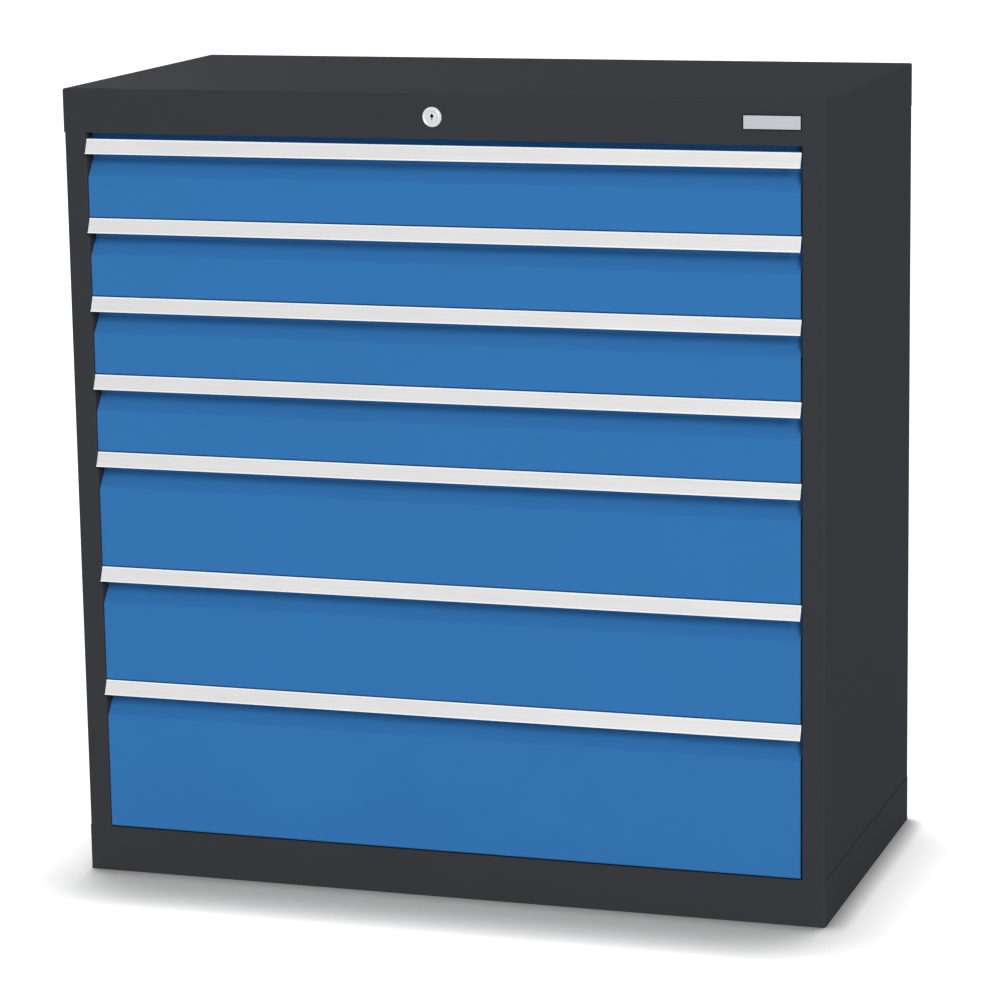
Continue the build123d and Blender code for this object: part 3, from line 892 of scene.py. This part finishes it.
@dataclass
class Handles:
    """The slanted aluminium strips, one shape for all the drawers."""

    shop: PaintShop
    finish: DrawnAluminium = DrawnAluminium("satin_aluminium", Colour(222, 221, 221))
    # The lips are lighter than the face: a painted highlight along the strip's top and bottom edges.
    lip_highlight_finish: DrawnAluminium = DrawnAluminium("painted_highlight_aluminium", Colour(250, 250, 250), 0.22)
    set_back: float = 0.001
    leg_drop: float = 0.001
    leg_sheet: float = 0.002
    leg_start: float = 0.003
    lip: float = 0.0016
    lip_rise: float = 0.0005
    lip_facing: float = 0.5
    wall: float = 0.0024
    edge: float = 0.00035
    edge_angle: float = 25.0
    low: Vector = field(init=False)
    high: Vector = field(init=False)
    face: float = field(init=False)

    def __post_init__(self) -> None:
        """Takes the top strip's room, and the place of the housing's front along Y, from the frame."""
        self.low, self.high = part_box("drawer_1_handle")
        self.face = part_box("right_side_panel")[0].y

    def _section(self) -> list[Vector]:
        """Corners of the strip's section, in the plane of its left end.

        Returns:
            Twelve points in order, from the front's upper edge down and back up behind it.
        """
        low, high, face = self.low, self.high, self.face
        upper = Vector((low.x, face + self.set_back, high.z))
        lower = Vector((low.x, low.y, low.z))
        down = (lower - upper).normalized()
        inward = Vector((0.0, -down.z, down.y))
        rise = inward * self.lip_rise
        thick = Vector((0.0, self.wall / inward.y, 0.0))
        leg_top = high.z - self.leg_drop
        leg_bottom = leg_top - self.leg_sheet
        slope = (upper.y - lower.y) / (upper.z - lower.z)
        back = upper.y + thick.y - slope * (upper.z - leg_bottom)
        return [
            upper,
            upper + down * self.lip,
            upper + down * self.lip + rise,
            lower - down * self.lip + rise,
            lower - down * self.lip,
            lower,
            lower + thick,
            Vector((low.x, back, leg_bottom)),
            Vector((low.x, high.y, leg_bottom)),
            Vector((low.x, high.y, leg_top)),
            Vector((low.x, face + self.leg_start, leg_top)),
            Vector((low.x, face + self.leg_start, high.z)),
        ]

    def build(self) -> None:
        """Models the top drawer's strip and copies it to the others."""
        strip = Workpiece.outline("drawer_1_handle_strip", self._section())
        strip.extrude(Vector((self.high.x - self.low.x, 0.0, 0.0)))
        strip.weld()
        strip.round_off(self.edge, self.edge_angle).weld().smooth().flatten()
        self.shop.dress(strip.thing, self.finish)
        # Lighter colour on the lips: a painted highlight along both edges.
        self.shop.dress_area(strip, self.lip_highlight_finish, self._on_lip)
        for number in range(2, DRAWERS + 1):
            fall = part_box(f"drawer_{number}_handle")[0].z - self.low.z
            copy = strip.copy(f"drawer_{number}_handle_strip", Vector((0.0, 0.0, fall)))
            self._hand_over(copy, number)
        self._hand_over(strip, 1)

    def _on_lip(self, spot: Vector, normal: Vector) -> bool:
        """Whether a face lies on one of the lips along the strip's front and looks forwards.

        Args:
            spot: The face's middle.
            normal: Its normal.

        Returns:
            True for the faces of the lips.
        """
        corners = self._section()
        upper, lower = corners[0], corners[5]
        along = (spot - upper).dot((lower - upper).normalized())
        below = (lower - upper).length - along
        return normal.y < -self.lip_facing and min(along, below) < self.lip

    @staticmethod
    def _hand_over(strip: Workpiece, number: int) -> None:
        """Gives one strip to its drawer."""
        strip.ride(f"drawer_{number}", "handle_aluminium", f"drawer_{number}_handle")


@dataclass
class Trays:
    """The drawers' folded trays, with slots in all four walls for dividers."""

    shop: PaintShop
    finish: PowderCoat
    sheet: float = 0.001
    pitch: float = 0.025
    slot_width: float = 0.003
    slot_margin: float = 0.012
    end_room: float = 0.006
    lip: float = 0.008
    side_drop: float = 0.012
    fold: float = 0.0012
    fold_angle: float = 60.0
    crease: float = 40.0
    seam: float = 0.00001
    corner_gap: float = 0.0001

    def _wall(self, name: str, start: Vector, run: Vector, height: float) -> Workpiece:
        """One flat wall with a row of slots.

        Args:
            name: The piece's name.
            start: The wall's lower corner.
            run: Way from that corner to the wall's other end.
            height: The wall's height.

        Returns:
            The wall, one face thick.
        """
        along = run.normalized()
        count = int((run.length - 2 * self.end_room) / self.pitch)
        margin = (run.length - count * self.pitch) / 2
        up = Vector((0.0, 0.0, height))
        first = start + along * margin
        step = along * self.pitch
        cell = Workpiece.outline(name, [first, first + step, first + step + up, first + up])
        middle = first + step / 2 + up / 2
        cell.inset(self.slot_width / 2)
        shrink_along = self.slot_width / (self.pitch - self.slot_width)
        shrink_up = (height - 2 * self.slot_margin) / (height - self.slot_width)
        factors = [shrink_along if abs(part) > ALIGNED else 1.0 for part in along[:2]] + [shrink_up]
        cell.scale(factors, middle).drop("FACE")
        cell.modify(
            "ARRAY",
            count=count,
            use_relative_offset=False,
            use_constant_offset=True,
            constant_offset_displace=step,
            use_merge_vertices=True,
        )
        for end, way in ((first, -along), (first + step * count, along)):
            cell.pick(
                Element.EDGES,
                lambda spot, line, end=end: upright(line) and abs((spot - end).dot(along)) < self.seam,
            )
            cell.extrude(way * margin)
        return cell

    def _build_one(self, number: int) -> Workpiece:
        """Models one drawer's tray inside its node's room.

        Args:
            number: The drawer's number, from 1 at the top.

        Returns:
            The finished tray.
        """
        low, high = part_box(f"drawer_{number}_tray")
        top = high.z - self.side_drop
        height = top - low.z
        width = Vector((high.x - low.x, 0.0, 0.0))
        depth = Vector((0.0, high.y - low.y, 0.0))
        name = f"drawer_{number}_slotted_tray"
        walls = [
            self._wall(name, low, width, height),
            self._wall("right", low + width, depth, height),
            self._wall("back", low + width + depth, -width, height),
            self._wall("left", low + depth, -depth, height),
        ]
        tray = walls[0].join(walls[1:])
        tray.weld(self.corner_gap)
        tray.pick(Element.EDGES, lambda spot, line: abs(spot.z - low.z) < TOUCH and not upright(line))
        tray.cap()
        tray.weld()
        for way, test in (
            (Vector((self.lip, 0, 0)), lambda spot: abs(spot.x - low.x) < TOUCH),
            (Vector((-self.lip, 0, 0)), lambda spot: abs(spot.x - high.x) < TOUCH),
            (Vector((0, -self.lip, 0)), lambda spot: abs(spot.y - high.y) < TOUCH),
            (Vector((0, 0, self.side_drop)), lambda spot: abs(spot.y - low.y) < TOUCH),
        ):
            tray.pick(Element.EDGES, lambda spot, line, test=test: abs(spot.z - top) < TOUCH and test(spot))
            tray.extrude(way)
        tray.round_off(self.fold, self.fold_angle).weld().ready()
        if min(tray.thing.data.polygons, key=lambda face: face.center.z).normal.z > 0:
            tray.pick(Element.POINTS, anything)
            bpy.ops.mesh.flip_normals()
        tray.modify("SOLIDIFY", thickness=self.sheet, offset=-1.0)
        return tray.weld().smooth(self.crease).flatten()

    def build(self) -> None:
        """Models each size of tray once and copies it to the drawers that share it."""
        made: dict[tuple[float, ...], tuple[Workpiece, Vector]] = {}
        trays = []
        for number in range(1, DRAWERS + 1):
            low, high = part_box(f"drawer_{number}_tray")
            key = tuple(round(part, 4) for part in high - low)
            if key in made:
                model, first_low = made[key]
                trays.append(model.copy(f"drawer_{number}_slotted_tray", low - first_low))
            else:
                trays.append(self._build_one(number))
                made[key] = (trays[-1], low)
        for number, tray in enumerate(trays, 1):
            piece = tray.ride(f"drawer_{number}", "tray_blue", f"drawer_{number}_tray")
            self.shop.dress(piece, self.finish)


@dataclass
class Rollers:
    """Nylon rollers on riveted pins, eight to a drawer, in the room of their nodes."""

    shop: PaintShop
    finish: Nylon = Nylon("natural_nylon", Colour(226, 222, 210))
    pin_finish: ZincPlate = ZincPlate("bright_pins", Colour(205, 207, 208), 0.28, 400.0, 0.3)
    inner_step: float = 0.193
    outer_step: float = 0.189
    sides: int = 40
    hub: float = 0.0068
    hub_depth: float = 0.0014
    crown: float = 0.0009
    width: float = 0.0064
    row_step: float = 0.0092
    hub_slope: float = 0.0002
    head: float = 0.0052
    head_height: float = 0.0011
    head_sides: int = 24
    edge_angle: float = 50.0

    def _roller(self, name: str, centre: Vector, way: int) -> tuple[Workpiece, Workpiece]:
        """One roller with the head of its pin.

        Args:
            name: Start of both names.
            centre: The roller's middle.
            way: 1 where the pin's head shows towards +X, and -1 where it shows towards -X.

        Returns:
            The roller and the head.
        """
        low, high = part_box("drawer_1_rollers")
        radius = (high.z - low.z) / 2
        roller = Workpiece.round_bar(name, centre, radius, self.width, Bar.ALONG_X, self.sides)
        face = centre.x + way * self.width / 2
        roller.pick(Element.FACES, looks_sideways)
        roller.inset(self.crown)
        roller.inset(radius - self.crown - self.hub)
        roller.inset(self.hub_slope, -self.hub_depth)
        roller.round_off(self.crown / 2, self.edge_angle).smooth()
        head = Workpiece.round_bar(
            f"{name}_head",
            Vector((face - way * (self.hub_depth - self.head_height / 2), centre.y, centre.z)),
            self.head,
            self.head_height,
            Bar.ALONG_X,
            self.head_sides,
        )
        head.pick(Element.FACES, looks_sideways)
        head.inset(self.head / 3)
        head.round_off(self.head_height / 3, self.edge_angle).smooth()
        return roller, head

    def _right_hand(self, number: int) -> tuple[Workpiece, Workpiece]:
        """The right-hand runner's rollers and heads of one drawer.

        Args:
            number: The drawer's number, from 1 at the top.

        Returns:
            The four rollers as one piece, and the heads of their pins as another.
        """
        low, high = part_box(f"drawer_{number}_rollers")
        radius = (high.z - low.z) / 2
        middle_z = low.z + radius
        outer_x = high.x - self.width / 2
        inner_x = outer_x - self.row_step
        spots = [
            (Vector((inner_x, low.y + radius, middle_z)), -1),
            (Vector((inner_x, low.y + radius + self.inner_step, middle_z)), -1),
            (Vector((outer_x, high.y - radius - self.outer_step, middle_z)), 1),
            (Vector((outer_x, high.y - radius, middle_z)), 1),
        ]
        made = [self._roller(f"roller_{index}", spot, way) for index, (spot, way) in enumerate(spots)]
        rollers, heads = (list(group) for group in zip(*made))
        return rollers[0].join(rollers[1:]), heads[0].join(heads[1:])

    def build(self) -> None:
        """Models the top drawer's set and copies it to the others."""
        rollers, heads = self._right_hand(1)
        rollers.join([rollers.mirrored("left_rollers")])
        heads.join([heads.mirrored("left_heads")])
        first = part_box("drawer_1_rollers")[0]
        sets = [(1, rollers, heads)]
        for number in range(2, DRAWERS + 1):
            fall = Vector((0.0, 0.0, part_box(f"drawer_{number}_rollers")[0].z - first.z))
            sets.append((number, rollers.copy("rollers", fall), heads.copy("heads", fall)))
        for number, wheels, pins in sets:
            body = f"drawer_{number}_runners"
            wheels.thing.name = f"drawer_{number}_roller_set"
            pins.thing.name = f"drawer_{number}_pin_heads"
            self.shop.dress(wheels.ride(body, "roller_nylon", f"drawer_{number}_rollers"), self.finish)
            self.shop.dress(pins.ride(body, "rail_zinc"), self.pin_finish)


@dataclass
class Lock:
    """The round lock in the header: its flange and barrel, and the plug with its keyhole."""

    shop: PaintShop
    flange: float = 0.0025
    rim: float = 0.0006
    land: float = 0.0011
    groove: float = 0.0009
    groove_slope: float = 0.0004
    barrel_radius: float = 0.0094
    edge: float = 0.0002
    play: float = 0.0001
    plug_radius: float = 0.007
    plug_rim: float = 0.0006
    plug_edge: float = 0.0003
    plug_angle: float = 50.0
    slot_width: float = 0.0012
    slot_height: float = 0.0082
    eye_radius: float = 0.0021
    eye_rise: float = 0.0011
    slot_depth: float = 0.009
    sides: int = 72
    eye_sides: int = 32
    key_margin: float = 0.0002
    key_end: float = 0.0005
    key_share: float = 0.8
    middle: Vector = field(init=False)
    finish: TurnedNickel = field(init=False)

    def __post_init__(self) -> None:
        """Takes the lock's place from the frame."""
        low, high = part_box("lock_housing")
        self.middle = (low + high) / 2
        self.finish = TurnedNickel("satin_nickel", Colour(209, 210, 211), self.middle.x, self.middle.z)

    def _round(self, name: str, place: float, radius: float, length: float) -> Workpiece:
        """A cylinder on the lock's axis, with the place of its middle along Y."""
        centre = Vector((self.middle.x, place, self.middle.z))
        return Workpiece.round_bar(name, centre, radius, length, Bar.ALONG_Y, self.sides)

    def _housing(self) -> Workpiece:
        """The flange on the header with the barrel behind it.

        Returns:
            The finished housing.
        """
        low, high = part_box("lock_housing")
        radius = (high.x - low.x) / 2
        ring = self._round("lock_flange", low.y + self.flange / 2, radius, self.flange)
        ring.pick(Element.FACES, looks_forward)
        ring.inset(self.rim)
        ring.inset(self.land)
        ring.inset(self.groove_slope, -self.groove_slope)
        ring.inset(self.groove)
        ring.inset(self.groove_slope, self.groove_slope)
        bore = self._round("bore", low.y, self.plug_radius + self.play, self.slot_depth * 2)
        front = low.y + self.flange
        barrel = self._round("barrel", (front + high.y) / 2, self.barrel_radius, high.y - front)
        barrel.cut(bore.copy("bore_2", Vector((0, 0, 0))))
        ring.cut(bore)
        ring.round_off(self.edge)
        return ring.join([barrel]).smooth().flatten()

    def _plug(self) -> Workpiece:
        """The plug with its keyhole cut in.

        Returns:
            The finished plug.
        """
        low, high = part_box("lock_plug")
        plug = self._round("plug", (low.y + high.y) / 2, self.plug_radius, high.y - low.y)
        plug.pick(Element.FACES, looks_forward)
        plug.inset(self.plug_rim)
        plug.round_off(self.plug_edge, self.plug_angle)
        slot_half = Vector((self.slot_width / 2, self.slot_depth, self.slot_height / 2))
        mouth = Vector((self.middle.x, low.y, self.middle.z))
        slot = Workpiece.block("slot", mouth - slot_half, mouth + slot_half)
        above = mouth + Vector((0.0, 0.0, self.eye_rise))
        eye_length = self.slot_depth * 2
        eye = Workpiece.round_bar("eye", above, self.eye_radius, eye_length, Bar.ALONG_Y, self.eye_sides)
        return plug.cut(slot).cut(eye).smooth().flatten()

    def build(self) -> None:
        """Models the lock and dresses it."""
        housing = self._housing().ride("housing", "lock_nickel", "lock_housing")
        self.shop.dress(housing, self.finish)
        plug = self._plug()
        self.shop.dress(plug.thing, self.finish)
        # The keyhole's walls get painted shade: a near-black colour where the deep hole lies in shadow.
        self.shop.dress_area(plug, KeyholeShade(), self._in_keyway)
        plug.ride("lock_core", "lock_nickel", "lock_plug")

    def _in_keyway(self, spot: Vector, normal: Vector) -> bool:
        """Whether a face of the plug lies inside the keyhole.

        Args:
            spot: The face's middle.
            normal: Its normal.

        Returns:
            True for the faces of the keyhole's walls.
        """
        low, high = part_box("lock_plug")
        off_axis = math.hypot(spot.x - self.middle.x, spot.z - self.middle.z)
        inside = low.y + self.key_margin < spot.y < high.y - self.key_end
        return inside and off_axis < self.key_share * self.plug_radius


@dataclass
class NamePlate:
    """The bare plate on the header."""

    shop: PaintShop
    colour: Colour = Colour(184, 188, 194)
    rim: float = 0.0011
    rim_slope: float = 0.0002
    rim_height: float = 0.00025
    edge: float = 0.0002

    def build(self) -> None:
        """Models the plate with softened edges and a raised rim."""
        low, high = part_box("name_plate")
        half = (high - low) / 2
        middle = (low + high) / 2
        plate = Workpiece.block("bare_plate", low, high)
        plate.pick(Element.FACES, looks_forward)
        plate.inset(self.rim)
        plate.inset(self.rim_slope, -self.rim_height)
        plate.round_off(self.edge).smooth().flatten()
        finish = PlateMetal("plate_metal", self.colour, middle.x, middle.z, half.x, half.z)
        self.shop.dress(plate.ride("housing", "plate_aluminium", "name_plate"), finish)


@dataclass
class CadNodes:
    """Finishes for the nodes whose own shape shows."""

    shop: PaintShop
    housing: PowderCoat
    fronts: PowderCoat
    sheet_zinc: ZincPlate = ZincPlate("galvanised_sheet", Colour(188, 191, 193), 0.4, 120.0)
    rail_zinc: ZincPlate = ZincPlate("bright_zinc", Colour(200, 203, 205), 0.3, 260.0, 0.35)

    def dress(self) -> None:
        """Puts each node's finish on it."""
        finishes = {
            "housing_paint": self.housing,
            "front_blue": self.fronts,
            "tray_blue": self.fronts,
            "upright_zinc": self.sheet_zinc,
            "rail_zinc": self.rail_zinc,
            "lock_zinc": self.rail_zinc,
            "lock_nickel": self.rail_zinc,
            "handle_aluminium": self.rail_zinc,
            "roller_nylon": self.rail_zinc,
            "plate_aluminium": self.rail_zinc,
        }
        for part in frame["record"]["subparts"]:
            self.shop.dress(frame["nodes"][part["node"]], finishes[part["material_slot"]])
        log.info("%d nodes dressed", len(frame["nodes"]))


@dataclass(frozen=True)
class Lamp:
    """A square soft box: where it hangs, what it points at, its side in metres and its power in watts."""

    name: str
    place: Triple
    target: Triple
    size: float
    power: float

    def hang(self) -> None:
        """Adds the lamp to the scene."""
        source = bpy.data.lights.new(self.name, "AREA")
        source.shape = "SQUARE"
        source.size = self.size
        source.energy = self.power
        lamp = bpy.data.objects.new(self.name, source)
        lamp.location = self.place
        lamp.rotation_euler = (Vector(self.target) - lamp.location).to_track_quat("-Z", "Y").to_euler()
        bpy.context.scene.collection.objects.link(lamp)


@dataclass
class Studio:
    """Pale floor, white surroundings, soft light and the photograph's camera."""

    floor_half: float = 30.0
    floor_grey: Rgba = (0.9, 0.9, 0.9, 1.0)
    floor_white: float = 0.9
    floor_glow: float = 1.35
    shadow_samples: int = 24
    contact_way: Triple = (-0.6, 0.0, 0.8)
    contact_reach: float = 0.03
    contact_depth: float = 1.0
    cast_way: Triple = (-0.1, 1.0, -0.1)
    cast_reach: float = 0.16
    cast_depth: float = 2.4
    ambient: float = 0.335
    lamps: tuple[Lamp, ...] = (
        Lamp("front", (14.52, -20.56, 13.11), (0.1, -0.2, 0.4), 11.8, 4500.0),
        Lamp("fill", (5.85, -8.32, 1.45), (0.1, -0.2, 0.4), 4.0, 125.0),
        Lamp("back", (-5.4, 6.1, 2.2), (-0.1, 0.2, 0.4), 3.4, 400.0),
        Lamp("overhead", (0.0, -0.6, 4.6), (0.0, -0.3, 0.0), 3.0, 26.0),
    )
    camera_place: Vector = field(default_factory=lambda: Vector((1.49787, -4.63319, 1.4571)))
    azimuth: float = 17.920
    elevation: float = 11.503
    roll: float = -0.894
    lens: float = 137.08
    sensor: float = 36.0

    @staticmethod
    def _background_rays(sheet: ShaderSheet) -> Signal:
        """Tells the rays that see the background itself: from the camera, off gloss and through glass.

        Args:
            sheet: The node sheet that asks.

        Returns:
            1 on those rays, and 0 on all others.
        """
        camera, glossy, through = (
            sheet.add("ShaderNodeLightPath", output=name)
            for name in ("Is Camera Ray", "Is Glossy Ray", "Is Transmission Ray")
        )
        return camera.either(glossy).either(through)

    def surround(self) -> None:
        """White world, dimmer where it lights the object."""
        world = bpy.data.worlds.new("studio")
        world.use_nodes = True
        bpy.context.scene.world = world
        sheet = ShaderSheet(world.node_tree)
        seen = self._background_rays(sheet)
        strength = self.ambient + seen * (1.0 - self.ambient)
        light = sheet.add("ShaderNodeBackground", sockets={"Color": WHITE, "Strength": strength})
        sheet.add("ShaderNodeOutputWorld", sockets={"Surface": light})

    def _openness(self, sheet: ShaderSheet, way: Sequence[float], reach: float, depth: float) -> Signal:
        """How open the floor's surroundings are.

        Args:
            sheet: The floor's node sheet.
            way: Where it looks: towards the object on the sides that the shadow falls on.
            reach: How far it looks, in metres.
            depth: Power that the result is raised to, for a darker shadow.

        Returns:
            A signal from 0 where all is closed to 1 where nothing stands near.
        """
        towards = sheet.add("ShaderNodeCombineXYZ", sockets=dict(enumerate(way)))
        sockets = {"Distance": reach, "Normal": towards}
        settings = {"samples": self.shadow_samples}
        share = sheet.add("ShaderNodeAmbientOcclusion", settings, sockets, "AO")
        return sheet.add("ShaderNodeMath", {"operation": "POWER"}, {0: share, 1: depth})

    def lay_floor(self) -> None:
        """Pale floor that keeps the object's shadow."""
        Workpiece.leave()
        bpy.ops.mesh.primitive_plane_add(size=2 * self.floor_half)
        floor = Workpiece(bpy.context.active_object, "studio_floor").thing
        material = bpy.data.materials.new("studio_floor")
        material.use_nodes = True
        sheet = ShaderSheet(material.node_tree)
        matte = sheet.add("ShaderNodeBsdfDiffuse", sockets={"Color": self.floor_grey})
        contact = self._openness(sheet, self.contact_way, self.contact_reach, self.contact_depth)
        cast = self._openness(sheet, self.cast_way, self.cast_reach, self.cast_depth)
        glow = contact * cast * self.floor_glow
        white = sheet.add("ShaderNodeEmission", sockets={"Color": WHITE, "Strength": glow})
        share = self._background_rays(sheet) * self.floor_white
        mixed = sheet.add("ShaderNodeMixShader", sockets={0: share, 1: matte, 2: white})
        sheet.add("ShaderNodeOutputMaterial", sockets={"Surface": mixed})
        floor.data.materials.append(material)

    def shoot(self) -> None:
        """Camera at the photograph's place and angle."""
        lens = bpy.data.cameras.new("photo_camera")
        lens.sensor_width = self.sensor
        lens.lens = self.lens
        camera = bpy.data.objects.new("photo_camera", lens)
        turn = Matrix.Rotation(math.radians(self.azimuth), 4, "Z")
        tilt = Matrix.Rotation(math.radians(90.0 - self.elevation), 4, "X")
        roll = Matrix.Rotation(math.radians(self.roll), 4, "Z")
        camera.matrix_world = Matrix.Translation(self.camera_place) @ turn @ tilt @ roll
        bpy.context.scene.collection.objects.link(camera)
        bpy.context.scene.camera = camera
        bpy.context.scene.view_settings.view_transform = "Standard"

    def build(self) -> None:
        """Sets up all of it."""
        self.surround()
        self.lay_floor()
        for lamp in self.lamps:
            lamp.hang()
        self.shoot()


def main() -> None:
    """Builds the cabinet's looks in order and reports each piece."""
    logging.basicConfig(level=logging.INFO, format="%(name)s: %(message)s")
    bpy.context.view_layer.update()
    shop = PaintShop()
    anthracite = PowderCoat("anthracite_paint", Colour(57, 58, 61))
    blue = PowderCoat("blue_paint", Colour(53, 115, 176))
    Studio().build()
    CadNodes(shop, anthracite, blue).dress()
    Handles(shop).build()
    Trays(shop, blue).build()
    Rollers(shop).build()
    Lock(shop).build()
    NamePlate(shop).build()


if __name__ == "__main__":
    main()
